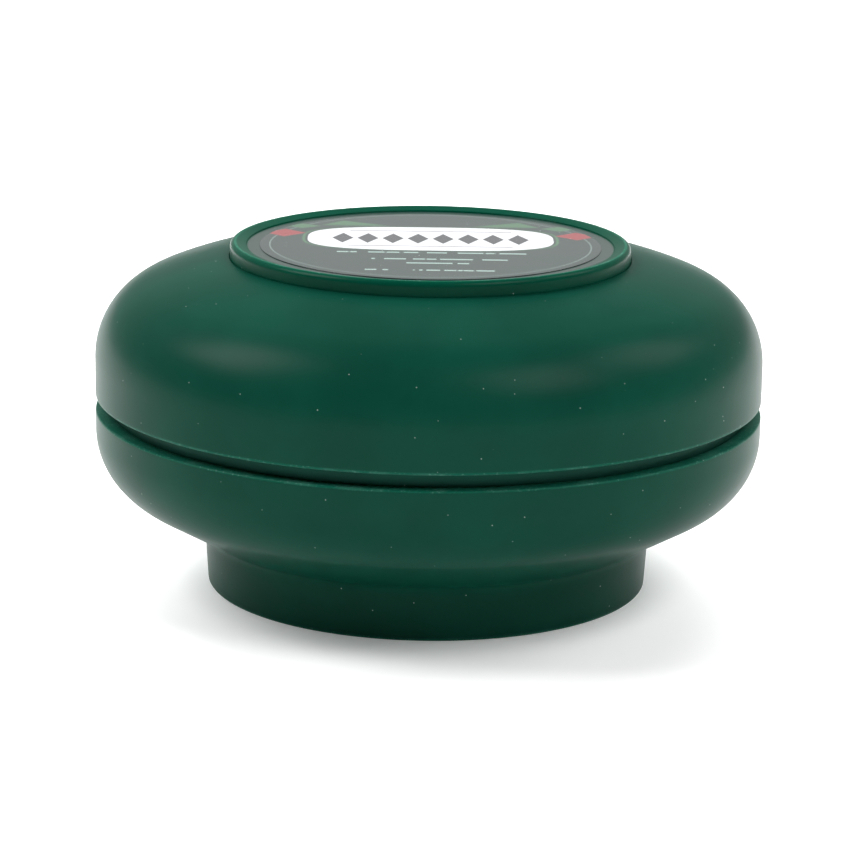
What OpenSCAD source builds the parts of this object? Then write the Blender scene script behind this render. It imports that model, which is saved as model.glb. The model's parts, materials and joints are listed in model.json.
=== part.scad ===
// Shaving soap in a double-walled bowl jar with a screw lid.
// Z is up, the foot stands on Z = 0 and every round shape is turned about the Z axis.

/* [Bowl] */
// Largest diameter, the same on the bowl and the lid
jar_d = 106; // [100:1:128]
// Height of the bowl's rim above the table
rim_z = 28.6; // [25:0.1:36]
// Radius of the turn from the bowl's side to its underside
belly_r = 12; // [10:0.1:15]
// Height of the bowl's straight side under its rim
belly_drop = 3.2; // [1:0.1:5]
// Slope of the bowl's underside, from the horizontal
belly_slope = 29.7; // [26:0.1:33]
// Wall of the outer bowl
bowl_wall = 2; // [1.6:0.1:2.4]
// Width of the ledge on the rim, outside the collar
ledge_w = 2.4; // [2.4:0.1:2.9]

/* [Foot] */
// Wall of the foot ring that the jar stands on
foot_wall = 3.1; // [2.5:0.1:4]
// Draft of the foot's side, wider towards the top
foot_draft = 3.6; // [0:0.1:6]
// Radius of the hollow between the foot and the underside
foot_fillet = 2; // [1:0.1:4]
// Depth of the recess under the foot
recess_depth = 3; // [2.6:0.1:4]
// Thickness of the floor over the recess
floor_t = 2; // [1.5:0.1:3]

/* [Cup] */
// How far the neck stands in from the jar's side
neck_inset = 6.2; // [6:0.1:8]
// Wall of the cup and its neck
cup_wall = 1.8; // [1.4:0.1:2.4]
// Gap between the two walls of the bowl
cup_gap = 0.8; // [0.4:0.1:1.5]
// Height of the ring that carries the cup
rest_h = 4.5; // [3.5:0.1:6]
// Depth of the collar's fit in the bowl's mouth
mouth_depth = 4; // [3:0.1:5]
// How far the collar reaches up inside the lid
collar_lap = 1.6; // [1:0.1:3]

/* [Soap] */
// Depth of the soap at its edge
soap_depth = 24; // [15:0.1:25]
// Depth of the hollow in the soap's face
soap_dish = 1; // [0.2:0.1:3]
// Gap left where the soap shrinks from the cup
soap_clear = 0.15; // [0.05:0.05:0.5]

/* [Lid] */
// Gap that shows between the rim and the lid
lid_gap = 2.3; // [1.5:0.1:3.5]
// Height of the lid's straight side
lid_side_h = 6; // [5:0.1:9]
// Radius of the lid's shoulder
shoulder_r = 13.2; // [11:0.1:16]
// Turn of the shoulder before the crown begins
shoulder_turn = 67.4; // [60:0.1:72]
// Radius of the lid's crown, seen in section
crown_r = 55.4; // [46:0.1:67]
// Wall of the outer lid
lid_wall = 1.8; // [1.5:0.1:2]
// Wall of the lid's inner cap
insert_wall = 1.5; // [1.2:0.1:1.8]
// Thickness of the sealing wad
liner_t = 1.4; // [1:0.1:2]

/* [Thread] */
// Rise of the lid in one turn
thread_lead = 5; // [4:0.1:6]
// Length of the neck's thread, in turns
thread_turns = 1; // [0.8:0.05:1.2]
// Height of the ridges
ridge_h = 1.2; // [1:0.05:1.4]
// Width of the ridges at their root
ridge_w = 1.8; // [1.4:0.1:2]
// Radial gap between each ridge and the wall it passes
thread_clear = 0.4; // [0.3:0.05:0.6]

/* [Top ring and labels] */
// Diameter of the raised ring on the lid
ring_d = 63.4; // [56:0.1:77]
// Width of the ring
ring_w = 2.6; // [2.4:0.1:4.5]
// Height of the ring's crest above its seat
ring_h = 2.5; // [2.2:0.1:3.5]
// Radius of the ring's outer edge
ring_edge = 0.9; // [0.4:0.1:1.2]
// Fall of the ring's top, from its crest inwards
ring_fall = 0.5; // [0.2:0.05:0.6]
// Depth of the label's recess below the crest
label_recess = 0.7; // [0.7:0.1:1.2]
// Space round the top label in its recess
label_margin = 2.1; // [0.5:0.1:2.5]
// Thickness of both labels
label_t = 0.1; // [0.1:0.05:0.2]
// Diameter of the label under the foot
base_label_d = 50; // [30:1:60]
// Gap round the ring when one jar stands on another
stack_clear = 0.4; // [0.2:0.05:0.5]

/* [Hidden] */

$fn = 96;
green = [0.05, 0.26, 0.19];
deep_green = [0.04, 0.21, 0.15];
ring_green = [0.04, 0.32, 0.2];
soap_white = [0.93, 0.94, 0.9];
wad_white = [0.88, 0.88, 0.86];
label_grey = [0.45, 0.55, 0.52];

// Steps in a long arc, in a short arc and in one turn of a thread
arc_steps = 12;
edge_steps = 5;
turn_steps = 72;
// Length of the taper at each end of a ridge, in degrees
ridge_fade = 20;
// Share of a ridge's root width that is left at its crest
crest_share = 0.45;
// Depth to which a ridge is set into its wall
ridge_root = 0.4;
// Heights of the run before and after the neck's thread
thread_start = 1.3;
thread_land = 1.6;
// Broken edges on the rims, the foot and the ring
edge_break = 0.3;
foot_edge = 0.5;
// Reach and height of the snap beads
snap_reach = 0.25;
snap_h = 0.6;
// Room above the collar, over the wad, and inside the lid's shoulder
collar_room = 0.8;
wad_room = 0.1;
wad_margin = 0.5;
shoulder_room = 0.4;
// Corner of the inner cap, its flange and its ring for the bezel
insert_corner = 3.5;
flange_h = 1.2;
boss_h = 3;
// Ring under the cup
rest_r = 25;
rest_w = 2;
// Bezel: seat below the dome, seam round it, plate and spigot
seat_cut = 0.15;
seam_w = 0.15;
seat_w = 3.2;
plate_t = 1.4;
spigot_wall = 1.6;
// Steps across the soap's face
soap_steps = 10;
// Extra reach of a cutting shape
over = 1;

jar_r = jar_d / 2;
ring_r = ring_d / 2;
recess_r = ring_r + stack_clear;
foot_r = recess_r + foot_wall;
floor_top = recess_depth + floor_t;
belly_z = rim_z - belly_drop;
collar_r = jar_r - ledge_w;
neck_r = jar_r - neck_inset;
neck_bore_r = neck_r - cup_wall;
cup_z = floor_top + rest_h;
cup_floor_z = cup_z + cup_wall;
soap_top_z = cup_floor_z + soap_depth;
lid_z = rim_z + lid_gap;
collar_top_z = lid_z + collar_lap;
neck_top_z = collar_top_z + thread_start + thread_lead * thread_turns + thread_land;
lid_bore_r = jar_r - lid_wall;
insert_z = collar_top_z + collar_room;
insert_bore_r = neck_r + ridge_h + thread_clear;
insert_r = insert_bore_r + insert_wall;
ceiling_z = neck_top_z + liner_t + wad_room;
insert_top_z = ceiling_z + insert_wall;
liner_r = neck_r - wad_margin;
shoulder_z = lid_z + lid_side_h;
shoulder_x = jar_r - shoulder_r;
crown_x = shoulder_x + (shoulder_r - crown_r) * cos(shoulder_turn);
crown_z = shoulder_z + (shoulder_r - crown_r) * sin(shoulder_turn);
seat_z = dome_z(ring_r) - seat_cut;
ring_top_z = seat_z + ring_h;
label_z = ring_top_z - label_recess;
label_seat_r = ring_r - ring_w;
opening_r = ring_r - seat_w;
spigot_r = opening_r - spigot_wall;
top_label_r = label_seat_r - label_margin;

// Points along an arc in the section plane
function arc(x, z, r, a0, a1, steps) =
    [for (i = [0:steps]) let (a = a0 + (a1 - a0) * i / steps) [x + r * cos(a), z + r * sin(a)]];

// Height of the lid's outside at a distance from its axis, on the crown
function dome_z(r) = crown_z + sqrt(pow(crown_r, 2) - pow(max(0, r - crown_x), 2));

// Where the foot's side, set in by d, would meet the underside, set in by d
function foot_corner(d) =
    let (
        side_x = foot_r - d / cos(foot_draft) - foot_edge * tan(foot_draft),
        turn = 90 - belly_slope,
        end_x = jar_r - belly_r + (belly_r - d) * cos(turn),
        end_z = belly_z - (belly_r - d) * sin(turn),
        z = (end_z - tan(belly_slope) * (end_x - side_x)) / (1 - tan(belly_slope) * tan(foot_draft))
    )
    [side_x + z * tan(foot_draft), z];

// Section of the bowl's outer form, set in by d, between two heights
module bowl_form(d, z0, z1) {
    corner = foot_corner(d);
    spread = 90 + foot_draft + belly_slope;
    fillet = foot_fillet + d;
    reach = fillet / sin(spread / 2);
    mid = (belly_slope - 90 - foot_draft) / 2;
    hollow_x = corner.x + reach * cos(mid);
    hollow_z = corner.y + reach * sin(mid);
    low_x = corner.x - (corner.y - z0) * tan(foot_draft);
    side = jar_r - belly_r;
    turn = 90 - belly_slope;
    top_z = max(z1, belly_z + over);
    intersection() {
        polygon(concat(
            [[0, z0], [low_x, z0]],
            arc(hollow_x, hollow_z, fillet, 180 - foot_draft, 90 + belly_slope, edge_steps),
            arc(side, belly_z, belly_r - d, -turn, 0, arc_steps),
            [[jar_r - d, top_z], [0, top_z]]));
        translate([0, z0]) square([jar_r, z1 - z0]);
    }
}

// Section of the lid's outer form, set in by d, from a height upwards
module lid_form(d, z0) {
    polygon(concat(
        [[0, z0], [jar_r - d, z0]],
        arc(shoulder_x, shoulder_z, shoulder_r - d, 0, shoulder_turn, arc_steps),
        arc(crown_x, crown_z, crown_r - d, shoulder_turn, 90, edge_steps),
        [[0, crown_z + crown_r - d]]));
}

// Rectangle in the section plane, from the first radius to the second
module band(r0, r1, z0, z1) {
    translate([r0, z0]) square([r1 - r0, z1 - z0]);
}

// Right-hand helical ridge on a wall, outwards for side = 1 and inwards for side = -1
module ridge(wall_r, side, start_z, start_a, turns) {
    steps = round(turns * turn_steps);
    sweep = 360 * turns;
    function height(a) = ridge_h * min(1, (a + 1) / ridge_fade, (sweep - a + 1) / ridge_fade);
    function at(r, a, z) = [r * cos(start_a + a), r * sin(start_a + a), start_z + thread_lead * a / 360 + z];
    root = wall_r - side * ridge_root;
    crest_w = ridge_w * crest_share;
    points = [
        for (i = [0:steps]) let (a = sweep * i / steps, crest = wall_r + side * height(a))
            each [at(root, a, -ridge_w / 2), at(crest, a, -crest_w / 2),
                  at(crest, a, crest_w / 2), at(root, a, ridge_w / 2)]
    ];
    skin = [
        for (i = [0:steps - 1], k = [0:3])
            let (a = 4 * i + k, b = 4 * i + (k + 1) % 4, c = a + 4, d = b + 4)
            each [[a, c, b], [b, c, d]]
    ];
    last = 4 * steps;
    ends = [[0, 1, 2], [0, 2, 3], [last, last + 2, last + 1], [last, last + 3, last + 2]];
    faces = concat(skin, ends);
    polyhedron(points, side < 0 ? faces : [for (f = faces) [f[0], f[2], f[1]]], convexity = 6);
}

// Outer bowl: foot ring, recess, ring for the cup and snap lip at the mouth
module bowl_shell() {
    color(green)
    rotate_extrude() {
        difference() {
            bowl_form(0, 0, rim_z);
            bowl_form(bowl_wall, floor_top, rim_z - mouth_depth);
            band(0, collar_r, rim_z - mouth_depth - over, rim_z + over);
            band(0, recess_r, -over, recess_depth);
            polygon([[foot_r - foot_edge, 0], [foot_r, foot_edge], [foot_r + over, foot_edge],
                     [foot_r + over, -over], [foot_r - foot_edge, -over]]);
            polygon([[jar_r - edge_break, rim_z], [jar_r, rim_z - edge_break],
                     [jar_r + over, rim_z - edge_break], [jar_r + over, rim_z + over],
                     [jar_r - edge_break, rim_z + over]]);
        }
        band(rest_r, rest_r + rest_w, floor_top - edge_break, cup_z);
    }
}

// Inner cup: soap well, threaded neck, collar and the skirt that snaps into the mouth
module bowl_cup() {
    inner = bowl_wall + cup_gap;
    mouth_z = rim_z - mouth_depth;
    shoulder_low = collar_top_z - cup_wall;
    color(deep_green) {
        rotate_extrude()
            difference() {
                union() {
                    intersection() {
                        bowl_form(inner, cup_z, neck_top_z);
                        band(0, neck_r, cup_z, neck_top_z);
                    }
                    band(neck_r - over, collar_r, shoulder_low, collar_top_z);
                    band(collar_r - cup_wall, collar_r, mouth_z - snap_h, collar_top_z);
                    polygon([[collar_r - over, mouth_z - snap_h], [collar_r, mouth_z - snap_h],
                             [collar_r + snap_reach, mouth_z], [collar_r - over, mouth_z]]);
                }
                intersection() {
                    bowl_form(inner + cup_wall, cup_floor_z, neck_top_z + over);
                    band(0, neck_bore_r, cup_floor_z, neck_top_z + over);
                }
            }
        ridge(neck_r, 1, collar_top_z + thread_start, 0, thread_turns);
    }
}

// Soap, poured into the cup, with a shallow hollow in its face
module soap_puck() {
    inset = bowl_wall + cup_gap + cup_wall + soap_clear;
    face_r = neck_bore_r - soap_clear;
    color(soap_white)
    rotate_extrude()
        difference() {
            intersection() {
                bowl_form(inset, cup_floor_z, soap_top_z);
                band(0, face_r, cup_floor_z, soap_top_z);
            }
            polygon(concat(
                [for (i = [0:soap_steps]) let (s = i / soap_steps)
                    [face_r * s, soap_top_z - soap_dish * (1 - pow(s, 2))]],
                [[face_r + over, soap_top_z + over], [0, soap_top_z + over]]));
        }
}

// Round label on the floor of the foot's recess
module base_label() {
    color(label_grey)
    translate([0, 0, recess_depth - label_t]) cylinder(d = base_label_d, h = label_t);
}

// Section of the bead that holds the inner cap's flange, on the dome's inner wall
module lid_bead() {
    polygon([[lid_bore_r + over, insert_z - 2 * snap_h], [lid_bore_r, insert_z - 2 * snap_h],
             [lid_bore_r - snap_reach, insert_z - snap_h / 2],
             [lid_bore_r - snap_reach, insert_z], [lid_bore_r + over, insert_z]]);
}

// Outer lid: dome with a seat and an opening for the bezel, and a snap bead inside
module lid_shell() {
    color(green)
    rotate_extrude()
        difference() {
            lid_form(0, lid_z);
            difference() {
                lid_form(lid_wall, lid_z - over);
                lid_bead();
            }
            band(0, ring_r + seam_w, seat_z, ring_top_z + over);
            band(0, opening_r, lid_z - over, ring_top_z + over);
            polygon([[jar_r - edge_break, lid_z], [jar_r, lid_z + edge_break],
                     [jar_r + over, lid_z + edge_break], [jar_r + over, lid_z - over],
                     [jar_r - edge_break, lid_z - over]]);
        }
}

// Half section of the inner cap's block, set in by d, under a height
module insert_block(d, top_z) {
    r = insert_r - d;
    corner = insert_corner - d;
    intersection() {
        polygon(concat(
            [[0, insert_z - over], [r, insert_z - over]],
            arc(r - corner, top_z - corner, corner, 0, 90, edge_steps),
            [[0, top_z]]));
        lid_form(lid_wall + shoulder_room + d, insert_z - over);
    }
}

// Inner cap: threaded skirt, flange that snaps into the dome and ring for the bezel
module lid_insert() {
    thread_back = thread_lead / 2;
    lead_in = insert_z + ridge_w / 2 - (collar_top_z + thread_start - thread_back);
    start_a = 360 * (lead_in + edge_break) / thread_lead;
    color(deep_green) {
        rotate_extrude()
            difference() {
                union() {
                    insert_block(0, insert_top_z);
                    band(insert_r - over, lid_bore_r, insert_z, insert_z + flange_h);
                    band(0, spigot_r, insert_top_z - edge_break, insert_top_z + boss_h);
                }
                insert_block(insert_wall, ceiling_z);
                band(0, jar_r, insert_z - 2 * over, insert_z);
                band(0, spigot_r - insert_wall, insert_top_z, insert_top_z + boss_h + over);
            }
        ridge(insert_bore_r, -1, insert_z + ridge_w / 2 + edge_break, start_a, thread_turns * 0.75);
    }
}

// Sealing wad that seats on the neck
module lid_liner() {
    color(wad_white)
    rotate_extrude()
        intersection() {
            band(0, liner_r, neck_top_z, neck_top_z + liner_t);
            insert_block(insert_wall + wad_room, ceiling_z - wad_room);
        }
}

// Bezel: raised ring round the label's recess, with a spigot through the dome
module label_bezel() {
    color(ring_green)
    rotate_extrude() {
        polygon(concat(
            [[label_seat_r - over, label_z - plate_t], [opening_r, label_z - plate_t], [opening_r, seat_z],
             [ring_r, seat_z]],
            arc(ring_r - ring_edge, ring_top_z - ring_edge, ring_edge, 0, 90, edge_steps),
            [[label_seat_r, ring_top_z - ring_fall], [label_seat_r, label_z],
             [label_seat_r - over, label_z]]));
        band(0, label_seat_r, label_z - plate_t, label_z);
        band(spigot_r, opening_r, insert_top_z, label_z - plate_t + edge_break);
    }
}

// Glossy round label in the bezel's recess
module top_label() {
    color(label_grey)
    translate([0, 0, label_z]) cylinder(r = top_label_r, h = label_t);
}

bowl_shell();
bowl_cup();
soap_puck();
base_label();
lid_shell();
lid_insert();
lid_liner();
label_bezel();
top_label();
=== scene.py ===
"""Shaving soap in a double-walled bowl jar with a domed screw lid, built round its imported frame."""
import json
import math

import bpy
import numpy as np
from bpy.props import FloatProperty, FloatVectorProperty, PointerProperty
from mathutils import Matrix, Vector


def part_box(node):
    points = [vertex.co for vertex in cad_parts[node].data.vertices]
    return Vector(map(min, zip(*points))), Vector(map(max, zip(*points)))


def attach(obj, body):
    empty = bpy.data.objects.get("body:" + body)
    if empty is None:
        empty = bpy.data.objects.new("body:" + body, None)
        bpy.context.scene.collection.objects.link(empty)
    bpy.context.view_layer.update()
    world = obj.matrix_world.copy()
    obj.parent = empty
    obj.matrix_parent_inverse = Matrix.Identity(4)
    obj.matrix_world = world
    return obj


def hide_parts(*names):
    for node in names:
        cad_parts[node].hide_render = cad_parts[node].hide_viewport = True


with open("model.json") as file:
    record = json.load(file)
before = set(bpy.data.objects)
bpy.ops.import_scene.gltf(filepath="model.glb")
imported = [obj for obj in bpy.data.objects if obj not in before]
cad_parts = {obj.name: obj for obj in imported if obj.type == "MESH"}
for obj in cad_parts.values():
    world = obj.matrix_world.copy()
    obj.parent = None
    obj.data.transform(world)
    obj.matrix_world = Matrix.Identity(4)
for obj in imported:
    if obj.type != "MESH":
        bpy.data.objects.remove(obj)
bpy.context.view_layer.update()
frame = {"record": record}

bl_info = {
    "name": "Shaving soap jar",
    "version": (1, 0, 0),
    "blender": (4, 5, 0),
    "location": "3D View > Sidebar > Soap jar",
    "description": "Builds a screw-lid bowl jar of shaving soap round its packed frame",
    "category": "Add Mesh",
}

MOUNTS = {mount["name"]: mount for mount in frame["record"]["mounts"]}
MM = 0.001
COLUMNS = 288
THREAD_COLUMNS = 352
STEP = 1.0 * MM
GRAIN_LIFT = 0.006 * MM
PLASTIC_IOR = 1.13
ROOT_SHARE = 0.86
CREST_SHARE = 0.45


def low(node):
    """Lowest point of a CAD node."""
    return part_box(node)[0].z


def high(node):
    """Highest point of a CAD node."""
    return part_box(node)[1].z


def reach(node):
    """Largest radius of a round CAD node."""
    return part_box(node)[1].x


JAR_R = reach("bowl_shell")
RIM_Z = high("bowl_shell")
CUP_Z = low("bowl_cup")
NECK_TOP_Z = high("bowl_cup")
SOAP_FLOOR_Z = low("soap_puck")
SOAP_TOP_Z = high("soap_puck")
BASE_LABEL_R = reach("base_label")
RECESS_Z = high("base_label")
BASE_LABEL_Z = low("base_label")
LID_Z = low("lid_shell")
INSERT_Z = low("lid_insert")
BOSS_TOP_Z = high("lid_insert")
FLANGE_R = reach("lid_insert")
WAD_R = reach("lid_liner")
WAD_Z = low("lid_liner")
WAD_TOP_Z = high("lid_liner")
RING_R = reach("label_bezel")
CREST_Z = high("label_bezel")
INSERT_TOP_Z = low("label_bezel")
LABEL_R = reach("top_label")
LABEL_Z = low("top_label")
LABEL_TOP_Z = high("top_label")
RECESS_R = MOUNTS["stacking_recess"]["dims"]["r_mm"] * MM


def length(name, default, description):
    """A size that a user may change, in metres."""
    return FloatProperty(name=name, default=default, description=description, min=0.0,
                         unit="LENGTH", subtype="DISTANCE", precision=5)


def angle(name, degrees, description):
    """An angle that a user may change."""
    return FloatProperty(name=name, default=math.radians(degrees), description=description,
                         unit="ROTATION", subtype="ANGLE")


def tint(name, default, description):
    """A colour that a user may change, in linear light."""
    return FloatVectorProperty(name=name, default=default, description=description, size=3,
                               min=0.0, max=1.0, subtype="COLOR")


class BowlSizes(bpy.types.PropertyGroup):
    """Sizes of the outer bowl, the inner cup and the soap."""

    belly_r: length("Belly radius", 12 * MM, "Turn from the side to the underside")
    belly_drop: length("Straight side", 3.2 * MM, "Straight side under the rim")
    belly_slope: angle("Underside slope", 29.7, "Slope of the underside")
    wall: length("Bowl wall", 2 * MM, "Wall of the outer bowl")
    ledge: length("Ledge", 2.4 * MM, "Ledge on the rim outside the collar")
    foot_wall: length("Foot wall", 3.1 * MM, "Wall of the foot ring")
    foot_draft: angle("Foot draft", 3.6, "Lean of the foot's side")
    foot_fillet: length("Foot hollow", 2 * MM, "Hollow between foot and underside")
    foot_edge: length("Foot edge", 0.5 * MM, "Rounding of the foot's edge")
    floor_t: length("Floor", 2 * MM, "Floor over the recess")
    rest_r: length("Rest radius", 25 * MM, "Inner radius of the ring under the cup")
    rest_w: length("Rest width", 2 * MM, "Width of the ring under the cup")
    cup_gap: length("Cup gap", 0.8 * MM, "Gap between the two walls")
    cup_wall: length("Cup wall", 1.8 * MM, "Wall of the cup and its neck")
    neck_inset: length("Neck inset", 6.2 * MM, "How far the neck stands in from the side")
    collar_lap: length("Collar lap", 1.6 * MM, "How far the collar reaches up inside the lid")
    mouth_depth: length("Mouth depth", 4 * MM, "Depth of the collar's fit in the bowl")
    soap_clear: length("Soap gap", 0.15 * MM, "Gap left where the soap has shrunk")
    soap_dish: length("Soap dish", 1 * MM, "Depth of the hollow in the soap's face")
    soap_swirl: length("Soap swirl", 0.12 * MM, "Height of the ripples left by pouring")


class LidSizes(bpy.types.PropertyGroup):
    """Sizes of the lid, its inner cap, the thread and the raised ring."""

    side_h: length("Straight side", 6 * MM, "Height of the straight side")
    shoulder_r: length("Shoulder radius", 13.2 * MM, "Radius of the shoulder")
    shoulder_turn: angle("Shoulder turn", 67.4, "Turn of the shoulder before the crown")
    crown_r: length("Crown radius", 55.4 * MM, "Radius of the crown in section")
    wall: length("Lid wall", 1.8 * MM, "Wall of the outer lid")
    insert_wall: length("Cap wall", 1.5 * MM, "Wall of the inner cap")
    insert_corner: length("Cap corner", 3.5 * MM, "Corner of the inner cap")
    shoulder_room: length("Shoulder room", 0.4 * MM, "Room between the dome and the inner cap")
    flange_h: length("Flange", 1.2 * MM, "Height of the flange that snaps into the dome")
    wad_room: length("Wad room", 0.1 * MM, "Room over the sealing wad")
    thread_lead: length("Thread lead", 5 * MM, "Rise of the lid in one turn")
    ridge_h: length("Ridge height", 1.2 * MM, "Height of the thread's ridge")
    ridge_w: length("Ridge width", 1.8 * MM, "Width of the ridge at its root")
    thread_clear: length("Thread gap", 0.4 * MM, "Gap between each ridge and the wall it passes")
    seam_w: length("Seam", 0.15 * MM, "Seam round the raised ring")
    seat_cut: length("Seat depth", 0.15 * MM, "Depth of the ring's seat in the dome")
    seat_w: length("Seat width", 3.2 * MM, "Width of the ring's seat")
    ring_w: length("Ring width", 2.6 * MM, "Width of the raised ring")
    ring_edge: length("Ring edge", 0.9 * MM, "Rounding of the ring's outer edge")
    ring_fall: length("Ring fall", 0.5 * MM, "Fall of the ring's top, inwards")
    plate_t: length("Plate", 1.4 * MM, "Plate under the label")
    spigot_wall: length("Spigot wall", 1.6 * MM, "Wall of the ring's spigot")


class JarColours(bpy.types.PropertyGroup):
    """Colours of the mouldings, the labels, the soap and the wad."""

    shell: tint("Shell green", (0.0021, 0.043, 0.0265), "Satin green of the bowl and the lid")
    # Painted light: the shell's green plastic made lighter, to lift the shade in the gap between lid
    # and bowl
    inner: tint("Inner green", (0.005, 0.06, 0.04), "Green of the cup and the inner cap")
    ring: tint("Ring green", (0.0003, 0.05, 0.028), "Brighter green of the raised ring")
    chafe: tint("Chafed green", (0.1, 0.24, 0.19), "Pale green where an edge is rubbed")
    dust: tint("Dust", (0.42, 0.5, 0.46), "Specks on the plastic")
    label_ground: tint("Label ground", (0.012, 0.03, 0.026), "Dark ground of the top label")
    label_panel: tint("Label panel", (0.68, 0.69, 0.71), "Pale panel of the top label")
    label_mark: tint("Label mark", (0.05, 0.055, 0.06), "Dark marks on the panel")
    label_accent: tint("Label accent", (0.26, 0.022, 0.026), "Red accents beside the panel")
    label_leaf: tint("Label leaf", (0.04, 0.13, 0.06), "Green fields behind the panel")
    label_rule: tint("Label rule", (0.3, 0.42, 0.38), "Fine rules below the panel")
    paper: tint("Paper", (0.72, 0.73, 0.69), "Paper of the label under the foot")
    paper_ink: tint("Paper ink", (0.02, 0.12, 0.08), "Ink on the label under the foot")
    soap: tint("Soap", (0.8, 0.82, 0.74), "Poured shaving soap")
    wad: tint("Wad", (0.78, 0.78, 0.75), "Foamed sealing wad")
    floor: tint("Floor", (0.94, 0.935, 0.937), "Pale studio floor")


class StudioSettings(bpy.types.PropertyGroup):
    """Camera and lights."""

    elevation: angle("Elevation", 14.24, "Height of the camera above the horizon")
    roll: angle("Roll", 0.8, "Turn of the camera about its line of sight")
    distance: length("Distance", 537.6 * MM, "Distance from the aim to the camera")
    aim_z: length("Aim height", 24.6 * MM, "Height that the camera looks at")
    lens: FloatProperty(name="Lens", default=141.0, description="Focal length in millimetres",
                        unit="CAMERA")
    key: FloatProperty(name="Key light", default=61.0, description="Power of the left softbox",
                       unit="POWER")
    fill: FloatProperty(name="Fill light", default=43.0, description="Power of the right softbox",
                        unit="POWER")
    side: FloatProperty(name="Side light", default=26.0, unit="POWER",
                        description="Power of the softbox behind right")
    top: FloatProperty(name="Top light", default=370.0, description="Power of the overhead bank",
                       unit="POWER")
    room_back: FloatProperty(name="Room behind", default=0.5, min=0.0,
                             description="Brightness of the room behind the jar")
    room_front: FloatProperty(name="Room in front", default=0.1, min=0.0,
                              description="Brightness of the room in front of the jar")
    floor_glow: FloatProperty(name="Floor glow", default=0.18, min=0.0,
                              description="Light that comes up through the floor")
    room_above: FloatProperty(name="Room overhead", default=0.3, min=0.0,
                              description="Share of the brightness that is left overhead")


# Sections and turned surfaces

def unit(vector):
    """A vector divided by its own length."""
    return vector / np.hypot(*vector)


def arc(x, z, r, start, end, step=math.radians(3)):
    """Points on the circle of radius r about (x, z), from one angle to another in radians."""
    turns = np.linspace(start, end, max(3, math.ceil(abs(end - start) / step) + 1))
    return np.stack([x + r * np.cos(turns), z + r * np.sin(turns)], axis=-1)


def corner(before, here, after, r):
    """Arc of radius r that touches both lines of a corner, in steps of about 15 degrees."""
    u, v = unit(before - here), unit(after - here)
    half = math.acos(float(np.clip(u @ v, -1, 1))) / 2
    middle = here + unit(u + v) * r / math.sin(half)
    first, last = here + u * r / math.tan(half) - middle, here + v * r / math.tan(half) - middle
    start = math.atan2(first[1], first[0])
    sweep = (math.atan2(last[1], last[0]) - start + math.pi) % (2 * math.pi) - math.pi
    return arc(*middle, r, start, start + sweep, math.radians(15))


def section(*parts):
    """Joins corners (x, z), rounded corners (x, z, radius) and ready arrays of points."""
    rows = [np.asarray(p, float).reshape(-1, 2) if np.ndim(p) == 2 else np.array([p[:2]], float)
            for p in parts]
    points = np.concatenate(rows)
    starts = np.cumsum([0] + [len(row) for row in rows])
    made = []
    for i, (part, row) in enumerate(zip(parts, rows)):
        if np.ndim(part) == 1 and len(part) == 3:
            at = starts[i]
            row = corner(points[at - 1], points[at], points[(at + 1) % len(points)], part[2])
        made.append(row)
    return np.concatenate(made)


def refine(points, step=STEP):
    """Adds points at equal steps along a section, so that long straights shade flat."""
    run = np.concatenate([[0], np.cumsum(np.hypot(*np.diff(points, axis=0).T))])
    extra = np.arange(step, run[-1], step)
    clear = np.abs(extra[:, None] - run[None, :]).min(axis=1) > 0.4 * step
    places = np.union1d(run, extra[clear])
    return np.stack([np.interp(places, run, points[:, k]) for k in (0, 1)], axis=-1)


def rising(run, start, end, most=math.inf):
    """Part of a rising run between two heights, kept within a radius."""
    inside = run[(run[:, 1] > start) & (run[:, 1] < end)]
    ends = [[float(np.interp(z, run[:, 1], run[:, 0])), z] for z in (start, end)]
    cut = np.vstack([ends[0], inside, ends[1]])
    if cut[-1, 0] > most:
        level = float(np.interp(most, cut[:, 0], cut[:, 1]))
        cut = np.vstack([cut[cut[:, 0] < most], [most, level], [most, end]])
    return cut


def surface(name, points, quads, fans):
    """Mesh from a grid of points with its quads and the triangles that close its poles."""
    loops = np.concatenate([quads.ravel(), fans.ravel()]).astype(np.int32)
    sizes = np.concatenate([np.full(len(quads), 4), np.full(len(fans), 3)]).astype(np.int32)
    mesh = bpy.data.meshes.new(name)
    mesh.vertices.add(len(points))
    mesh.vertices.foreach_set("co", points.astype(np.float32).ravel())
    mesh.loops.add(len(loops))
    mesh.loops.foreach_set("vertex_index", loops)
    mesh.polygons.add(len(sizes))
    mesh.polygons.foreach_set("loop_start", np.cumsum(sizes).astype(np.int32) - sizes)
    mesh.polygons.foreach_set("use_smooth", np.ones(len(sizes), bool))
    mesh.update(calc_edges=True)
    mesh.validate()
    made = bpy.data.objects.new(name, mesh)
    bpy.context.scene.collection.objects.link(made)
    return made


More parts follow.
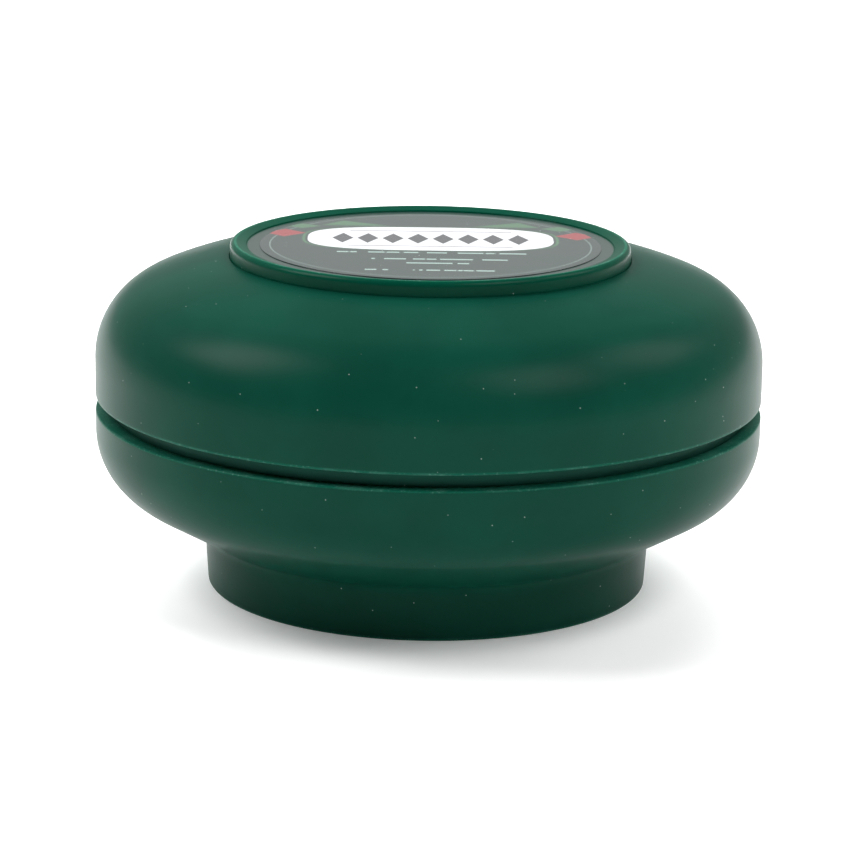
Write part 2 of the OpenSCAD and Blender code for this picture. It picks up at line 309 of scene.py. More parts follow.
def turned(name, outline, relief=None, columns=COLUMNS):
    """Surface of revolution: each section point (r, z) goes round the Z axis.

    A point at angle a is (r cos a, r sin a, z), after relief(a, r, z) has given its small shifts
    of r and z. A section that starts and ends on the axis closes in two poles. Any other
    section is a loop. It runs anticlockwise in the (r, z) plane, so faces point outwards."""
    poled = outline[0, 0] == 0
    rings = outline[1:-1] if poled else outline
    turn = np.linspace(0, 2 * math.pi, columns, endpoint=False)[None, :]
    r = np.repeat(rings[:, :1], columns, axis=1)
    z = np.repeat(rings[:, 1:], columns, axis=1)
    if relief:
        shift_r, shift_z = relief(turn, r, z)
        r, z = r + shift_r, z + shift_z
    points = np.stack([r * np.cos(turn), r * np.sin(turn), z], axis=-1).reshape(-1, 3)
    index = np.arange(r.size).reshape(r.shape)
    beside = np.roll(index, -1, axis=1)
    last = len(rings) - 1 if poled else len(rings)
    up, up_beside = np.roll(index, -1, axis=0), np.roll(beside, -1, axis=0)
    quads = np.stack([index, beside, up_beside, up], axis=-1)[:last].reshape(-1, 4)
    fans = np.zeros((0, 3), int)
    if poled:
        poles = [[0, 0, outline[0, 1]], [0, 0, outline[-1, 1]]]
        points = np.vstack([points, poles])
        first, end = np.full(columns, r.size), np.full(columns, r.size + 1)
        fans = np.concatenate([np.stack([first, beside[0], index[0]], axis=-1),
                               np.stack([index[-1], beside[-1], end], axis=-1)])
    return surface(name, points, quads, fans)


def bowl_form(inset):
    """Rising run of the bowl's outside, set in evenly: foot, hollow, cone, belly and side."""
    b = bpy.context.scene.jar_bowl
    belly_z = RIM_Z - b.belly_drop
    side = JAR_R - inset
    foot_r = RECESS_R + b.foot_wall
    slope, draft = math.tan(b.belly_slope), math.tan(b.foot_draft)
    belly = b.belly_r - inset
    low_z = belly_z - belly * math.tan((math.pi / 2 - b.belly_slope) / 2)
    start = foot_r - inset / math.cos(b.foot_draft) - b.foot_edge * draft
    meet_z = (low_z - slope * (side - start)) / (1 - slope * draft)
    meet = (start + meet_z * draft, meet_z)
    hollow = corner(np.array([start, 0.0]), np.array(meet), np.array([side, low_z]),
                    b.foot_fillet + inset)
    turn = math.pi / 2 - b.belly_slope
    curve = arc(side - belly, belly_z, belly, -turn, 0)
    return refine(np.vstack([[start, 0.0], hollow, curve, [side, NECK_TOP_Z + STEP]]), STEP / 2)


def lid_radius(z, inset):
    """Radius of the lid's outside, set in evenly, at each height: side, shoulder, crown."""
    d = bpy.context.scene.jar_lid
    base = LID_Z + d.side_h
    shoulder, crown = d.shoulder_r - inset, d.crown_r - inset
    x, cx, cz = lid_centres()
    rise = np.clip(z - base, 0, shoulder)
    on_shoulder = x + np.sqrt(shoulder ** 2 - rise ** 2)
    on_crown = cx + np.sqrt(np.clip(crown ** 2 - (z - cz) ** 2, 0, None))
    return np.where(z < base + shoulder * math.sin(d.shoulder_turn), on_shoulder, on_crown)


def lid_centres():
    """Radius of the shoulder's centre, then the crown's centre."""
    d = bpy.context.scene.jar_lid
    x = JAR_R - d.shoulder_r
    past = d.shoulder_r - d.crown_r
    return (x, x + past * math.cos(d.shoulder_turn),
            LID_Z + d.side_h + past * math.sin(d.shoulder_turn))


def lid_curve(inset, end_r):
    """Shoulder arc and crown arc of the lid, set in evenly, up to the radius end_r."""
    d = bpy.context.scene.jar_lid
    x, cx, cz = lid_centres()
    crown = d.crown_r - inset
    return np.vstack([arc(x, LID_Z + d.side_h, d.shoulder_r - inset, 0, d.shoulder_turn),
                      arc(cx, cz, crown, d.shoulder_turn, math.acos((end_r - cx) / crown),
                          math.radians(1))[1:]])


def thread(side, start_z, start_a, turns):
    """Relief of a right-hand ridge: it climbs one lead a turn, with sloped flanks.

    Its height fades out over its first and last 20 degrees."""
    d = bpy.context.scene.jar_lid
    foot_w, crest_w = d.ridge_w * ROOT_SHARE, d.ridge_w * CREST_SHARE
    fade, sweep = math.radians(20), 2 * math.pi * turns

    def relief(turn, r, z):
        lift = np.zeros_like(z)
        for lap in (0, 1):
            along = (turn - start_a) % (2 * math.pi) + 2 * math.pi * lap
            centre = start_z + d.thread_lead * along / (2 * math.pi)
            flank = np.clip((foot_w / 2 - np.abs(z - centre)) / (foot_w - crest_w) * 2, 0, 1)
            end = np.clip(np.minimum(along, sweep - along) / fade, 0, 1)
            lift = np.maximum(lift, smooth(flank) * smooth(end))
        return side * d.ridge_h * lift, np.zeros_like(z)

    return relief


def smooth(t):
    """Cubic ease from 0 to 1."""
    return t * t * (3 - 2 * t)


def wall_only(relief, radius):
    """Keeps a relief to the points that lie on one cylinder."""
    def kept(turn, r, z):
        shift_r, shift_z = relief(turn, r, z)
        on_wall = np.abs(r - radius) < 1e-6
        return shift_r * on_wall, shift_z * on_wall
    return kept


# Shader building

class Field:
    """A shader socket; arithmetic on it adds Math nodes."""

    def __init__(self, finish, socket):
        self.finish = finish
        self.socket = socket

    def math(self, operation, *terms):
        return self.finish.node("ShaderNodeMath", {"operation": operation},
                                dict(enumerate(terms)))

    def __add__(self, other):
        return self.math("ADD", self, other)

    __radd__ = __add__

    def __sub__(self, other):
        return self.math("SUBTRACT", self, other)

    def __rsub__(self, other):
        return self.math("SUBTRACT", other, self)

    def __mul__(self, other):
        return self.math("MULTIPLY", self, other)

    __rmul__ = __mul__

    def __truediv__(self, other):
        return self.math("DIVIDE", self, other)

    def __pow__(self, other):
        return self.math("POWER", self, other)

    def __abs__(self):
        return self.math("ABSOLUTE", self)

    def __gt__(self, other):
        return self.math("GREATER_THAN", self, other)


class Finish:
    """One material: a Principled shader with fields worked out on Object coordinates."""

    def __init__(self, name, **constants):
        self.material = bpy.data.materials.new(name)
        self.material.use_nodes = True
        self.tree = self.material.node_tree
        self.shader = self.tree.nodes["Principled BSDF"]
        self.set(**constants)
        self.place = self.node("ShaderNodeTexCoord", {}, {}, "Object")
        self.x, self.y, self.z = (self.node("ShaderNodeSeparateXYZ", {}, {0: self.place}, axis)
                                  for axis in "XYZ")
        self.r = (self.x * self.x + self.y * self.y) ** 0.5

    def node(self, kind, settings, sockets, out=0):
        """Adds a node, sets it, joins its sockets and gives one output as a Field."""
        made = self.tree.nodes.new(kind)
        for key, value in settings.items():
            setattr(made, key, value)
        for key, value in sockets.items():
            if isinstance(value, Field):
                self.tree.links.new(value.socket, made.inputs[key])
            else:
                made.inputs[key].default_value = value
        return Field(self, made.outputs[out])

    def set(self, **values):
        """Sets or joins the shader's own sockets; Base_Color stands for Base Color."""
        for key, value in values.items():
            socket = self.shader.inputs[key.replace("_", " ")]
            if isinstance(value, Field):
                self.tree.links.new(value.socket, socket)
            elif hasattr(value, "__len__") and len(value) == 3:
                socket.default_value = (*value, 1)
            else:
                socket.default_value = value

    def noise(self, size, detail=2.0, rough=0.5, at=None):
        """Noise from 0 to 1 with blobs of the given size in metres."""
        return self.node("ShaderNodeTexNoise", {},
                         {"Vector": at or self.place, "Scale": 1 / size, "Detail": detail,
                          "Roughness": rough}, "Fac")

    def step(self, field, start, end):
        """Eases from 0 to 1 while the field goes from start to end."""
        return self.node("ShaderNodeMapRange", {"interpolation_type": "SMOOTHSTEP"},
                         {"Value": field, "From Min": start, "From Max": end})

    def mix(self, mask, first, second):
        """Blends two colours by a mask."""
        colours = [c if isinstance(c, Field) else (*c, 1) for c in (first, second)]
        return self.node("ShaderNodeMix", {"data_type": "RGBA"},
                         {"Factor": mask, 6: colours[0], 7: colours[1]}, 2)

    def cells(self, size, stretch=(1, 1, 1), tilt=(0, 0, 0)):
        """Distance to the nearest of scattered points, and a random number for each."""
        at = self.node("ShaderNodeMapping", {}, {"Vector": self.place, "Scale": stretch,
                                                 "Rotation": tilt})
        sockets = {"Vector": at, "Scale": 1 / size}
        distance = self.node("ShaderNodeTexVoronoi", {}, sockets, "Distance")
        colour = self.node("ShaderNodeTexVoronoi", {}, sockets, "Color")
        return distance, self.node("ShaderNodeSeparateColor", {}, {0: colour}, 0)

    def bump(self, height, distance, strength=1.0):
        """Lifts the shading by a height from 0 to 1 over a distance in metres."""
        self.set(Normal=self.node("ShaderNodeBump", {}, {"Height": height, "Distance": distance,
                                                         "Strength": strength}, "Normal"))


def specks(finish, size, share, radius):
    """Small round specks: cells whose random number passes the share, near their points."""
    distance, chance = finish.cells(size)
    return (1 - finish.step(distance, radius / size * 0.5, radius / size)) * (chance > 1 - share)


def scratches(finish, size, share, tilt):
    """Fine straight scratches: the same cells, drawn out twenty times along one direction."""
    distance, chance = finish.cells(size, (1, 1, 0.05), tilt)
    return (1 - finish.step(distance, 0.008, 0.02)) * (chance > 1 - share)


def moulded(name, colour, roughness, edges, lift=GRAIN_LIFT):
    """Moulded plastic: fine grain, handling marks, specks, scratches, rubbed edges and painted edge
    highlights.

    Each edge is (height, width): within the width of that height a painted highlight
    lightens the green, and rubbing shows, broken up by noise so that it comes as nicks."""
    tints = bpy.context.scene.jar_colours
    made = Finish(name, IOR=PLASTIC_IOR)
    grain = made.noise(0.35 * MM, 3.0, 0.6)
    cloud = made.noise(16 * MM, 3.0)
    flow = made.noise(5 * MM, 2.0)
    dust = specks(made, 1.6 * MM, 0.22, 0.13 * MM)
    marks = (scratches(made, 2.6 * MM, 0.06, (0.5, 0.2, 0))
             + scratches(made, 3.1 * MM, 0.05, (1.3, 0.4, 0)))
    rub = rim = 0.0
    for height, width in edges:
        near = 1 - made.step(abs(made.z - height), width * 0.4, width)
        nicks = made.step(flow, 0.5, 0.62) * 0.12 + made.step(grain, 0.58, 0.66) * 0.55
        rub = near * nicks + rub
        rim = near + rim
    shade = made.mix(made.step(cloud, 0.3, 0.7), tuple(c * 0.92 for c in colour),
                     tuple(c * 1.1 for c in colour))
    # Painted highlight: a brighter green band along each edge
    shade = made.mix(rim * 0.6, shade, tuple(c * 2.2 for c in colour))
    shade = made.mix(rub, shade, tuple(tints.chafe))
    shade = made.mix(marks * 0.3, shade, tuple(tints.chafe))
    shade = made.mix(dust * 0.5, shade, tuple(tints.dust))
    made.set(Base_Color=shade,
             Roughness=roughness + (cloud - 0.5) * 0.08 + dust * 0.3 + marks * 0.1)
    made.bump(grain + dust * 2 - marks * 2, lift)
    return made


def dress(piece, body, slot, material, *nodes):
    """Gives a piece its material and its body, and hides the CAD nodes that it stands for. The slot
    is not used.
    """
    piece.data.materials.append(material)
    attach(piece, body)
    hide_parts(*nodes)


# Pieces

class JAR_OT_outer_bowl(bpy.types.Operator):
    """Outer bowl: foot, curved side, rim, and the recess under the foot"""

    bl_idname = "soap_jar.outer_bowl"
    bl_label = "Outer bowl"

    def execute(self, context):
        b = context.scene.jar_bowl
        tints = context.scene.jar_colours
        outside, inside = bowl_form(0), bowl_form(b.wall)
        collar_r = JAR_R - b.ledge
        mouth_z = RIM_Z - b.mouth_depth
        floor_z = RECESS_Z + b.floor_t
        edge = 0.3 * MM
        outline = section(
            (0, RECESS_Z), (RECESS_R, RECESS_Z, edge), (RECESS_R, 0, edge),
            (outside[0, 0], 0, b.foot_edge), rising(outside, STEP, RIM_Z - STEP),
            (JAR_R, RIM_Z, edge), (collar_r, RIM_Z, edge / 2), (collar_r, mouth_z),
            rising(inside, floor_z, mouth_z)[::-1], (b.rest_r + b.rest_w, floor_z),
            (b.rest_r + b.rest_w, CUP_Z), (b.rest_r, CUP_Z), (b.rest_r, floor_z), (0, floor_z))
        piece = turned("outer_bowl", refine(outline))
        # The rim and foot edge bands carry rubbing and a painted highlight line
        dress(piece, "bowl", "shell_green",
              moulded("satin_green_bowl", tints.shell, 0.34,
                      ((RIM_Z, 0.4 * MM), (0.0, 0.6 * MM))).material, "bowl_shell")
        return {"FINISHED"}


class JAR_OT_inner_cup(bpy.types.Operator):
    """Inner cup: soap well, threaded neck, and the collar that shows in the gap"""

    bl_idname = "soap_jar.inner_cup"
    bl_label = "Inner cup"

    def execute(self, context):
        b, d = context.scene.jar_bowl, context.scene.jar_lid
        tints = context.scene.jar_colours
        inset = b.wall + b.cup_gap
        neck_r = JAR_R - b.neck_inset
        bore_r = neck_r - b.cup_wall
        collar_r = JAR_R - b.ledge
        collar_z = LID_Z + b.collar_lap
        skirt_r = collar_r - b.cup_wall
        skirt_z = RIM_Z - b.mouth_depth - 0.6 * MM
        edge = 0.25 * MM
        thread_z = np.arange(collar_z + 0.4 * MM, NECK_TOP_Z - 0.5 * MM, 0.12 * MM)
        neck = np.stack([np.full(len(thread_z), neck_r), thread_z], axis=-1)
        outline = section(
            (0, CUP_Z), rising(bowl_form(inset), CUP_Z, collar_z - b.cup_wall, neck_r),
            (skirt_r, collar_z - b.cup_wall), (skirt_r, skirt_z), (collar_r, skirt_z),
            (collar_r, collar_z, edge), (neck_r, collar_z), neck,
            (neck_r, NECK_TOP_Z, edge), (bore_r, NECK_TOP_Z, edge),
            rising(bowl_form(inset + b.cup_wall), SOAP_FLOOR_Z, NECK_TOP_Z - STEP, bore_r)[::-1],
            (0, SOAP_FLOOR_Z))
        ridge = thread(1, collar_z + 1.3 * MM, 0.0, 1.0)
        piece = turned("inner_cup", refine(outline), wall_only(ridge, neck_r), THREAD_COLUMNS)
        dress(piece, "bowl", "inner_green",
              moulded("cup_green", tints.inner, 0.36, ((NECK_TOP_Z, 0.3 * MM),)).material,
              "bowl_cup")
        return {"FINISHED"}


class JAR_OT_soap(bpy.types.Operator):
    """Soap poured into the cup, with a dished face and the swirl left by pouring"""

    bl_idname = "soap_jar.soap"
    bl_label = "Soap"

    def execute(self, context):
        b = context.scene.jar_bowl
        wall = b.wall + b.cup_gap + b.cup_wall + b.soap_clear
        face_r = JAR_R - b.neck_inset - b.cup_wall - b.soap_clear
        side = rising(bowl_form(wall), SOAP_FLOOR_Z, SOAP_TOP_Z - STEP, face_r)
        across = np.linspace(face_r - STEP, 0, 90)
        face = np.stack([across, SOAP_TOP_Z - b.soap_dish * (1 - (across / face_r) ** 2)], axis=-1)
        outline = section((0, SOAP_FLOOR_Z), side, (face_r, SOAP_TOP_Z, 0.5 * MM), face)

        def poured(turn, r, z):
            """A spiral ripple, strongest half way out, that stays below the edge of the face."""
            share = np.clip(r / face_r, 0, 1)
            strength = np.sin(math.pi * share) * (z > SOAP_TOP_Z - b.soap_dish * 1.01)
            return np.zeros_like(r), -b.soap_swirl * strength * (1 + np.sin(22 * share - 2 * turn))

        piece = turned("poured_soap", refine(outline), poured)
        soft = Finish("poured_soap", Specular_IOR_Level=0.45)
        cream = tuple(context.scene.jar_colours.soap)
        cloud, pits = soft.noise(9 * MM, 4.0), soft.noise(0.5 * MM, 3.0, 0.65)
        holes = specks(soft, 2.2 * MM, 0.25, 0.16 * MM)
        vein = soft.mix(soft.step(cloud, 0.35, 0.7), tuple(c * 0.93 for c in cream), cream)
        soft.set(Base_Color=soft.mix(holes * 0.35, vein, tuple(c * 0.7 for c in cream)),
                 Roughness=0.52 + (pits - 0.5) * 0.15)
        soft.bump(pits - holes * 3, 0.03 * MM)
        dress(piece, "bowl", "soap", soft.material, "soap_puck")
        return {"FINISHED"}


class JAR_OT_lid_dome(bpy.types.Operator):
    """Outer lid: straight side, shoulder, crown, and the seat of the raised ring"""

    bl_idname = "soap_jar.lid_dome"
    bl_label = "Lid dome"

    def execute(self, context):
        d = context.scene.jar_lid
        tints = context.scene.jar_colours
        bore_r = JAR_R - d.wall
        seat_r = RING_R + d.seam_w
        opening_r = RING_R - d.seat_w
        outside = lid_curve(0, seat_r + 0.05 * MM)
        seam_top = float(outside[-1, 1])
        seat_z = seam_top - d.seat_cut
        edge = 0.3 * MM
        bead = 0.25 * MM
        outline = section(
            (bore_r, LID_Z, edge), (JAR_R, LID_Z, edge), (JAR_R, LID_Z + STEP), outside,
            (seat_r, seam_top), (seat_r, seat_z), (opening_r, seat_z),
            lid_curve(d.wall, opening_r)[::-1], (bore_r, INSERT_Z),
            (bore_r - bead, INSERT_Z), (bore_r - bead, INSERT_Z - bead),
            (bore_r, INSERT_Z - 4 * bead))
        closed = refine(np.vstack([outline, outline[:1]]))[:-1]
        piece = turned("lid_dome", closed)
        # The lower edge band carries rubbing and a painted highlight line
        dress(piece, "lid", "shell_green",
              moulded("satin_green_lid", tints.shell, 0.34, ((LID_Z, 0.55 * MM),)).material,
              "lid_shell")
        return {"FINISHED"}


class JAR_OT_inner_cap(bpy.types.Operator):
    """Inner cap: threaded skirt, flange that snaps into the dome, ring for the spigot"""

    bl_idname = "soap_jar.inner_cap"
    bl_label = "Inner cap"

    def execute(self, context):
        b, d = context.scene.jar_bowl, context.scene.jar_lid
        tints = context.scene.jar_colours
        bore_r = JAR_R - b.neck_inset + d.ridge_h + d.thread_clear
        outer_r = bore_r + d.insert_wall
        ceiling_z = WAD_TOP_Z + d.wad_room
        boss_r = RING_R - d.seat_w - d.spigot_wall
        flange_z = INSERT_Z + d.flange_h
        edge = 0.25 * MM

        def block(inset, start, top):
            """Rising run of the cap's side: its own round corner, kept inside the dome's form."""
            r, fillet = outer_r - inset, d.insert_corner - inset
            eased = np.sin(np.linspace(0, math.pi / 2, 70))
            z = start + (top - start) * eased
            rise = np.clip(z - (top - fillet), 0, fillet)
            own = r - fillet + np.sqrt(fillet ** 2 - rise ** 2)
            return np.stack([np.minimum(own, lid_radius(z, d.wall + d.shoulder_room + inset)), z],
                            axis=-1)

        thread_z = np.arange(INSERT_Z + 0.4 * MM, ceiling_z - d.insert_corner, 0.12 * MM)
        wall = np.stack([np.full(len(thread_z), bore_r), thread_z], axis=-1)
        inside = block(d.insert_wall, thread_z[-1] + 0.1 * MM, ceiling_z)
        outline = section(
            (0, ceiling_z), inside[::-1], wall[::-1], (bore_r, INSERT_Z, edge),
            (FLANGE_R, INSERT_Z, edge), (FLANGE_R, flange_z, edge), (outer_r, flange_z),
            block(0, flange_z + 0.1 * MM, INSERT_TOP_Z),
            (boss_r, INSERT_TOP_Z), (boss_r, BOSS_TOP_Z),
            (boss_r - d.insert_wall, BOSS_TOP_Z), (boss_r - d.insert_wall, INSERT_TOP_Z),
            (0, INSERT_TOP_Z))
        neck_start = LID_Z + b.collar_lap + 1.3 * MM - d.thread_lead / 2
        ridge_z = INSERT_Z + d.ridge_w / 2 + edge * 1.2
        start = 2 * math.pi * (ridge_z - neck_start) / d.thread_lead
        ridge = thread(-1, ridge_z, start % (2 * math.pi), 0.75)
        piece = turned("inner_cap", refine(outline), wall_only(ridge, bore_r), THREAD_COLUMNS)
        dress(piece, "lid", "inner_green",
              moulded("cap_green", tints.inner, 0.36, ((INSERT_Z, 0.3 * MM),)).material,
              "lid_insert")
        return {"FINISHED"}


class JAR_OT_wad(bpy.types.Operator):
    """Foamed sealing wad with the ring that the neck has pressed into it"""

    bl_idname = "soap_jar.wad"
    bl_label = "Sealing wad"

    def execute(self, context):
        b = context.scene.jar_bowl
        edge = 0.25 * MM
        sides = (WAD_R, WAD_Z, edge), (WAD_R, WAD_TOP_Z, edge), (0, WAD_TOP_Z)
        neck_r = JAR_R - b.neck_inset - b.cup_wall / 2
        rows = np.union1d(refine(section((0, WAD_Z), *sides))[:, 0],
                          np.linspace(neck_r - STEP, WAD_R - edge, 12))
        rows = rows[rows < WAD_R - edge]
        outline = section(np.stack([rows, np.full(len(rows), WAD_Z)], axis=-1), *sides)

        def pressed(turn, r, z):
            """A shallow groove under the wad, just inside the neck's rim."""
            on_face = z < WAD_Z + 0.1 * edge
            groove = np.exp(-((r - neck_r + 2 * STEP) / (0.5 * MM)) ** 2)
            return np.zeros_like(r), 0.08 * MM * groove * on_face

        piece = turned("sealing_wad", refine(outline), pressed)
        foam = Finish("sealing_wad", Specular_IOR_Level=0.3)
        pale = tuple(context.scene.jar_colours.wad)
        cells, chance = foam.cells(0.45 * MM)
        cloud = foam.noise(12 * MM, 3.0)
        foam.set(Base_Color=foam.mix(foam.step(cloud, 0.3, 0.7) * 0.6, pale,
                                     tuple(c * 0.9 for c in pale)),
                 Roughness=0.66 + chance * 0.1)
        foam.bump(1 - foam.step(cells, 0.1, 0.6), 0.02 * MM)
        dress(piece, "liner", "wad_foam", foam.material, "lid_liner")
        return {"FINISHED"}


class JAR_OT_raised_ring(bpy.types.Operator):
    """Raised ring round the label, with its plate and the spigot through the dome"""

    bl_idname = "soap_jar.raised_ring"
    bl_label = "Raised ring"

    def execute(self, context):
        d = context.scene.jar_lid
        tints = context.scene.jar_colours
        opening_r = RING_R - d.seat_w
        spigot_r = opening_r - d.spigot_wall
        inner_r = RING_R - d.ring_w
        under_z = LABEL_Z - d.plate_t
        seat_z = float(lid_curve(0, RING_R)[-1, 1]) - d.seat_cut
        outline = section(
            (0, under_z), (spigot_r, under_z), (spigot_r, INSERT_TOP_Z), (opening_r, INSERT_TOP_Z),
            (opening_r, seat_z), (RING_R, seat_z, 0.08 * MM),
            arc(RING_R - d.ring_edge, CREST_Z - d.ring_edge, d.ring_edge, 0, math.pi / 2,
                math.radians(6)),
            (inner_r, CREST_Z - d.ring_fall, 0.15 * MM), (inner_r, LABEL_Z, 0.08 * MM),
            (0, LABEL_Z))
        piece = turned("raised_ring", refine(outline, 0.5 * MM))
        # The crest's edge band is a thin painted highlight line
        plastic = moulded("semi_gloss_green", tints.ring, 0.3, ((CREST_Z, 0.06 * MM),),
                          GRAIN_LIFT / 3)
        self.polish(plastic, inner_r, tints.label_ground)
        dress(piece, "lid", "ring_green", plastic.material, "label_bezel")
        return {"FINISHED"}


    @staticmethod
    def polish(plastic, floor_r, ground):
        """Gloss on the floor inside the ring, where the label's clear border covers it."""
        film = 1 - plastic.step(plastic.r, floor_r - 0.3 * MM, floor_r - 0.1 * MM)
        shade = Field(plastic, plastic.shader.inputs["Base Color"].links[0].from_socket)
        plastic.set(Base_Color=plastic.mix(film * 0.8, shade, tuple(ground)), Coat_IOR=1.5,
                    Coat_Weight=film * 0.8, Coat_Roughness=0.2)


class JAR_OT_labels(bpy.types.Operator):
    """Glossy printed label in the ring, and the paper label under the foot"""

    bl_idname = "soap_jar.labels"
    bl_label = "Labels"

    def execute(self, context):
        for name, r, start, end, body, slot, material, node in (
                ("printed_label", LABEL_R, LABEL_Z, LABEL_TOP_Z, "lid", "label_film",
                 self.film(context.scene.jar_colours), "top_label"),
                ("foot_label", BASE_LABEL_R, BASE_LABEL_Z, RECESS_Z, "bowl", "base_paper",
                 self.paper(context.scene.jar_colours), "base_label")):
            edge = (end - start) * 0.35
            outline = section((0, start), (r, start, edge), (r, end, edge), (0, end))
            dress(turned(name, refine(outline)), body, slot, material, node)
        return {"FINISHED"}

    @staticmethod
    def film(tints):
        """Printed film: an oval panel with lozenges, leaf fields, accents, fine rules and a dark cut
        edge with painted shadow.
        """
        made = Finish("printed_film", Specular_IOR_Level=0.5, Coat_IOR=1.5, Coat_Roughness=0.06)
        x, y = made.x * 1000, made.y * 1000
        soft = 0.25

        def inside(distance, fade=soft):
            """1 where a distance in millimetres is below zero."""
            return 1 - made.step(distance, -fade / 2, fade / 2)

        panel_y = y - 5
        oval = ((abs(x) / 19.6) ** 3 + (abs(panel_y) / 9.6) ** 3 - 1) * 8
        panel, frame_line = inside(oval), inside(oval - 1.1) * (1 - inside(oval - 0.5))
        column = made.node("ShaderNodeMath", {"operation": "PINGPONG"}, {0: x + 2, 1: 2.0})
        lozenge = inside(column / 1.7 + abs(panel_y) / 4 - 1, 0.12) * inside(abs(x) - 16)
        lines = inside(abs(abs(panel_y) - 6.2) - 0.16, 0.1) * inside(abs(x) - 13)
        leaf = inside(y - 15 - (abs(x) - 6) * 0.55) * inside(15.4 - y)
        leaf = leaf * inside(abs(x) + (y - 15) * 0.8 - 18)
        accent = inside((abs(abs(x) - 23.4) / 3.4 + abs(y - 8.6) / 3.2 - 1) * 2)
        flash = inside((abs(abs(x) - 20.8) / 3 + abs(y - 14.6) / 2 - 1) * 2)
        rules = 0.0
        for height, half in ((-6.4, 15), (-11.5, 12), (-14.6, 6), (-20, 10)):
            dash = made.noise(1.1 * MM, 0.0, at=made.node(
                "ShaderNodeMapping", {}, {"Vector": made.place, "Scale": (1, 0.02, 1),
                                          "Location": (0, height, 0)}))
            line = inside(abs(y - height) - 0.45) * inside(abs(x) - half)
            rules = line * made.step(dash, 0.4, 0.48) + rules
        border = inside(abs(made.r * 1000 - (LABEL_R / MM - 1.6)) - 0.12, 0.12)
        cloud = made.noise(7 * MM, 3.0)
        shade = made.mix(made.step(cloud, 0.3, 0.7) * 0.5, tuple(tints.label_ground),
                         tuple(c * 1.5 for c in tints.label_ground))
        for mask, ink in ((leaf, tints.label_leaf), (rules * 0.85, tints.label_rule),
                          (border * 0.35, tints.label_rule), (frame_line, tints.label_leaf),
                          (accent, tints.label_accent), (flash, tints.label_leaf),
                          (panel, tints.label_panel), (lozenge * panel, tints.label_mark),
                          (lines * panel, tints.label_mark)):
            shade = made.mix(mask, shade, tuple(ink))
        dust = specks(made, 1.5 * MM, 0.2, 0.13 * MM)
        # Dark line round the film's cut edge: partly the edge itself, partly painted shadow along it
        edge_line_and_shadow = made.step(made.r, LABEL_R - 0.12 * MM, LABEL_R - 0.04 * MM)
        shade = made.mix(edge_line_and_shadow * 0.8, shade, (0.01, 0.012, 0.012))
        made.set(Base_Color=made.mix(dust * 0.8, shade, tuple(tints.dust)),
                 Roughness=0.2 + (cloud - 0.5) * 0.06 + dust * 0.3, Coat_Weight=0.4 - dust * 0.4)
        made.bump(made.noise(2.5 * MM, 2.0) + dust * 0.3, 0.004 * MM)
        return made.material

    @staticmethod
    def paper(tints):
        """Matt paper with a ring and short bars, and a faint fibre grain."""
        made = Finish("matt_paper", Specular_IOR_Level=0.25)
        x, y, r = made.x * 1000, made.y * 1000, made.r * 1000
        fibre = made.noise(0.3 * MM, 4.0, 0.7)
        ring = 1 - made.step(abs(r - (BASE_LABEL_R / MM - 2)), 0.2, 0.35)
        row = made.node("ShaderNodeMath", {"operation": "PINGPONG"}, {0: y, 1: 1.6})
        bars = (1 - made.step(row, 0.3, 0.45)) * (1 - made.step(abs(x), 11, 11.3))
        bars = bars * (1 - made.step(abs(y), 9.4, 9.6))
        ink = made.mix((ring + bars) * 0.8, tuple(tints.paper), tuple(tints.paper_ink))
        made.set(Base_Color=made.mix(made.step(fibre, 0.4, 0.7) * 0.2, ink, tuple(tints.paper)),
                 Roughness=0.72 + fibre * 0.1)
        made.bump(fibre, 0.01 * MM)
        return made.material


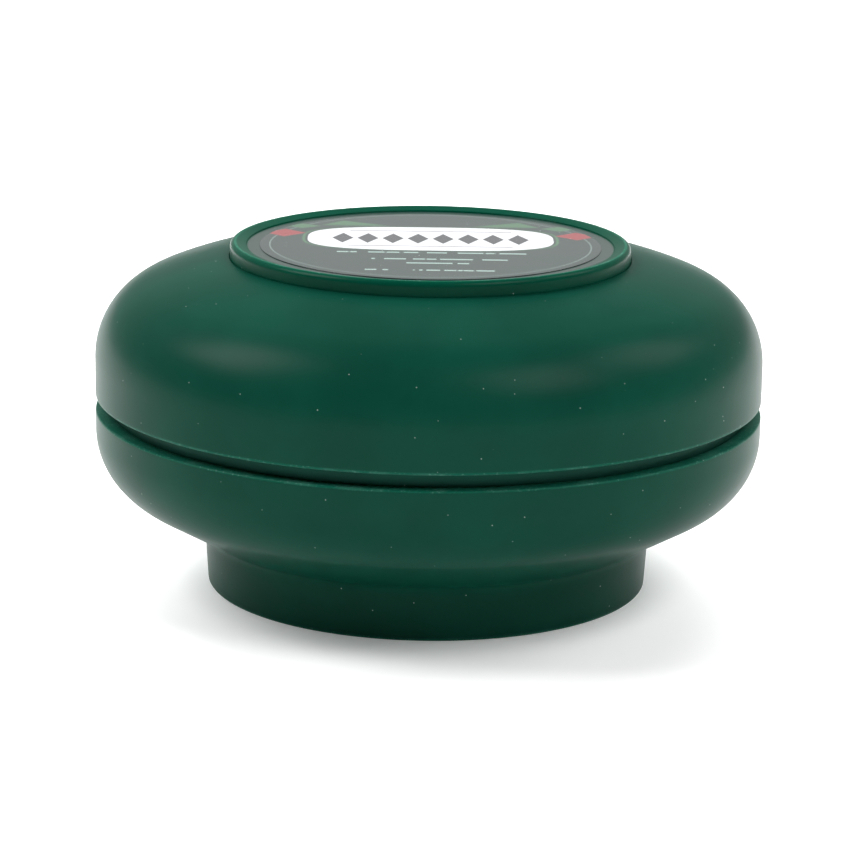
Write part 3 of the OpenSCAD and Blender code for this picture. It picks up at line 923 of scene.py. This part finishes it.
class JAR_OT_stage(bpy.types.Operator):
    """Pale floor, soft studio lights and the camera"""

    bl_idname = "soap_jar.stage"
    bl_label = "Stage"

    def execute(self, context):
        scene = context.scene
        s = scene.jar_studio
        self.camera(scene, s)
        self.floor(scene.jar_colours, s)
        self.light("key_softbox", s.key, 1.3, self.toward(-88, 47, 2.9))
        self.light("fill_softbox", s.fill, 1.3, self.toward(130, 50, 2.8))
        self.light("side_softbox", s.side, 1.2, self.toward(72, 42, 3.0))
        bank = self.light("overhead_bank", s.top, 4.5, Vector((-0.5, 3.0, 2.6)))
        bank.visible_glossy = False
        self.room(scene, s)
        scene.view_settings.view_transform = "Standard"
        return {"FINISHED"}

    @staticmethod
    def room(scene, s):
        """White surroundings, bright low behind the jar, darker overhead and in front."""
        scene.world = bpy.data.worlds.new("studio_room")
        scene.world.use_nodes = True
        tree = scene.world.node_tree
        background = tree.nodes["Background"]
        background.inputs["Color"].default_value = (1, 1, 1, 1)
        direction = tree.nodes.new("ShaderNodeTexCoord")
        split = tree.nodes.new("ShaderNodeSeparateXYZ")
        tree.links.new(direction.outputs["Generated"], split.inputs[0])
        levels = []
        for axis, start, end, low_level, high_level in (("Y", -0.6, 1, s.room_front, s.room_back),
                                                        ("Z", 0.25, 0.7, 1, s.room_above)):
            level = tree.nodes.new("ShaderNodeMapRange")
            level.interpolation_type = "SMOOTHSTEP"
            for name, value in (("From Min", start), ("From Max", end), ("To Min", low_level),
                                ("To Max", high_level)):
                level.inputs[name].default_value = value
            tree.links.new(split.outputs[axis], level.inputs["Value"])
            levels.append(level.outputs["Result"])
        both = tree.nodes.new("ShaderNodeMath")
        both.operation = "MULTIPLY"
        for socket, level in zip(both.inputs, levels):
            tree.links.new(level, socket)
        tree.links.new(both.outputs[0], background.inputs["Strength"])

    @staticmethod
    def toward(azimuth, elevation, distance):
        """Place in a compass direction from the jar, with 0 behind it and 90 to its right."""
        a, e = math.radians(azimuth), math.radians(elevation)
        return distance * Vector((math.sin(a) * math.cos(e), math.cos(a) * math.cos(e),
                                  math.sin(e)))

    @staticmethod
    def camera(scene, s):
        """Camera on a circle in front of the jar, aimed at its axis, with a small roll."""
        made = bpy.data.objects.new("camera", bpy.data.cameras.new("camera"))
        scene.collection.objects.link(made)
        made.data.lens = s.lens
        made.data.sensor_width = 36
        made.data.clip_start = 0.05
        made.data.clip_end = 20
        back = Vector((0, -math.cos(s.elevation), math.sin(s.elevation)))
        made.matrix_world = (Matrix.Translation(Vector((0, 0, s.aim_z)) + back * s.distance)
                             @ back.to_track_quat("Z", "Y").to_matrix().to_4x4()
                             @ Matrix.Rotation(s.roll, 4, "Z"))
        scene.camera = made

    @staticmethod
    def floor(tints, s):
        """Flat square of 8 by 8 metres, faintly lit from below as a light table is."""
        grid = np.array([[-4, -4, 0], [4, -4, 0], [4, 4, 0], [-4, 4, 0]], float)
        made = surface("floor", grid, np.array([[0, 1, 2, 3]]), np.zeros((0, 3), int))
        pale = Finish("floor_paint", Roughness=0.8, Specular_IOR_Level=0.1,
                      Emission_Color=(1.0, 1.0, 1.0), Emission_Strength=s.floor_glow)
        tone = pale.step(pale.noise(0.2, 2.0), 0.2, 0.8)
        pale.set(Base_Color=pale.mix(tone, tuple(tints.floor),
                                     tuple(c * 0.985 for c in tints.floor)))
        made.data.materials.append(pale.material)

    @staticmethod
    def light(name, power, side, place):
        """Square area light that faces the jar."""
        data = bpy.data.lights.new(name, "AREA")
        data.energy = power
        data.size = side
        made = bpy.data.objects.new(name, data)
        made.location = place
        made.rotation_euler = (place - Vector((0, 0, 0.03))).to_track_quat("Z", "Y").to_euler()
        bpy.context.scene.collection.objects.link(made)
        return made


class JAR_PT_panel(bpy.types.Panel):
    """Lists the jar's pieces, its sizes and its colours"""

    bl_label = "Soap jar"
    bl_space_type = "VIEW_3D"
    bl_region_type = "UI"
    bl_category = "Soap jar"

    def draw(self, context):
        for operator in OPERATORS:
            self.layout.operator(operator.bl_idname)
        for name, group in GROUPS.items():
            box = self.layout.box()
            for key in group.__annotations__:
                box.prop(getattr(context.scene, name), key)


GROUPS = {"jar_bowl": BowlSizes, "jar_lid": LidSizes, "jar_colours": JarColours,
          "jar_studio": StudioSettings}
OPERATORS = (JAR_OT_outer_bowl, JAR_OT_inner_cup, JAR_OT_soap, JAR_OT_wad, JAR_OT_inner_cap,
             JAR_OT_lid_dome, JAR_OT_raised_ring, JAR_OT_labels, JAR_OT_stage)


def register():
    """Registers the classes and hangs the settings on the scene."""
    for group in (*GROUPS.values(), *OPERATORS, JAR_PT_panel):
        bpy.utils.register_class(group)
    for name, group in GROUPS.items():
        setattr(bpy.types.Scene, name, PointerProperty(type=group))


def unregister():
    """Takes the settings and the classes away."""
    for name in GROUPS:
        delattr(bpy.types.Scene, name)
    for group in reversed((*GROUPS.values(), *OPERATORS, JAR_PT_panel)):
        bpy.utils.unregister_class(group)


def main():
    register()
    for operator in OPERATORS:
        group, name = operator.bl_idname.split(".")
        getattr(getattr(bpy.ops, group), name)()


if __name__ == "__main__":
    main()
